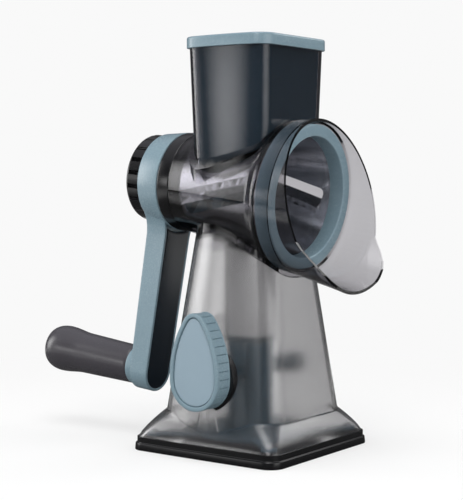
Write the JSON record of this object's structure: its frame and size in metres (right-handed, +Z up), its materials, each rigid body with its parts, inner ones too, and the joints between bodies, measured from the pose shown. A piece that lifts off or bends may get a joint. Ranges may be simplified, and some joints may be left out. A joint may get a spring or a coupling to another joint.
{
  "type": "rotary cabbage shredder",
  "caption": "Hand-cranked drum shredder: a bladed steel cone turns in a clear housing with a feed chute and pusher, on a hollow stand with a suction foot and a side knob.",
  "frame": {"origin": "middle of the square base, on the table", "axes": "+Z up, -Y towards the drum's mouth, +Y towards the crank, -X towards the suction knob"},
  "size_m": [0.1315, 0.2671, 0.29],
  "materials": {
    "blue_grey_plastic": "satin moulded ABS",
    "face_plastic": "satin moulded ABS",
    "slate_plastic": "glossy moulded ABS",
    "navy_plastic": "glossy moulded ABS",
    "black_plastic": "glossy moulded ABS",
    "smoke_plastic": "frosted translucent SAN",
    "clear_plastic": "clear smoky SAN",
    "stainless_steel": "bright brushed",
    "grip_plastic": "satin moulded nylon",
    "white_plastic": "bare acetal",
    "pad_rubber": "smooth soft rubber"
  },
  "bodies": {
    "root": {"base_trim": "black_plastic", "suction_pad": "pad_rubber", "base_plate": "slate_plastic", "base_screws": "stainless_steel", "column_screws": "stainless_steel", "stand_shell": "smoke_plastic", "guide_column": "slate_plastic", "support_tube": "smoke_plastic", "knob_seat": "black_plastic", "shaft_bearing": "slate_plastic", "drum_housing": "clear_plastic", "rear_cap": "black_plastic", "sleeve_bush": "white_plastic"},
    "crank": {"crank_arm": "blue_grey_plastic", "arm_cover": "navy_plastic", "grip_collar": "blue_grey_plastic", "grip_spindle": "stainless_steel"},
    "grip": {"grip": "grip_plastic", "grip_end_cap": "grip_plastic"},
    "lock": {"lock_knob": "black_plastic"},
    "drum": {"drum_cone": "stainless_steel", "drum_front_ring": "blue_grey_plastic", "drum_rear_hub": "slate_plastic", "drive_shaft": "stainless_steel"},
    "pusher": {"pusher_body": "slate_plastic", "pusher_cap": "blue_grey_plastic"},
    "knob": {"suction_knob": "blue_grey_plastic", "knob_face": "face_plastic", "cam_shaft": "slate_plastic", "cam": "stainless_steel"},
    "lifter": {"pull_rod": "slate_plastic", "lift_plate": "stainless_steel"}
  },
  "joints": [
    {"name": "crank_turn", "type": "hinge", "parent": "root", "child": "crank", "pos_m": [0, 0, 0.1835], "axis": [0, -0.9954, -0.0958], "continuous": true},
    {"name": "grip_spin", "type": "hinge", "parent": "crank", "child": "grip", "pos_m": [-0.01229, 0.01346, 0.04368], "axis": [0, -0.9954, -0.0958], "continuous": true},
    {"name": "lock_turn", "type": "hinge", "parent": "crank", "child": "lock", "pos_m": [0, 0, 0.1835], "axis": [0, -0.9954, -0.0958], "range_deg": [0, 90]},
    {"name": "drum_slide", "type": "slide", "parent": "crank", "child": "drum", "axis": [0, -0.9954, -0.0958], "range_m": [0, 0.145]},
    {"name": "pusher_slide", "type": "slide", "parent": "root", "child": "pusher", "axis": [0, 0, 1], "range_m": [0, 0.085]},
    {"name": "knob_turn", "type": "hinge", "parent": "root", "child": "knob", "pos_m": [-0.054, 0, 0.0545], "axis": [1, 0, 0], "range_deg": [0, 90]},
    {"name": "pad_lift", "type": "slide", "parent": "root", "child": "lifter", "axis": [0, 0, 1], "range_m": [0, 0.003], "deforming": ["suction_pad"]}
  ],
  "couplings": [
    {"joint": "pad_lift", "follows": "knob_turn", "m_per_rad": 0.0019099}
  ]
}
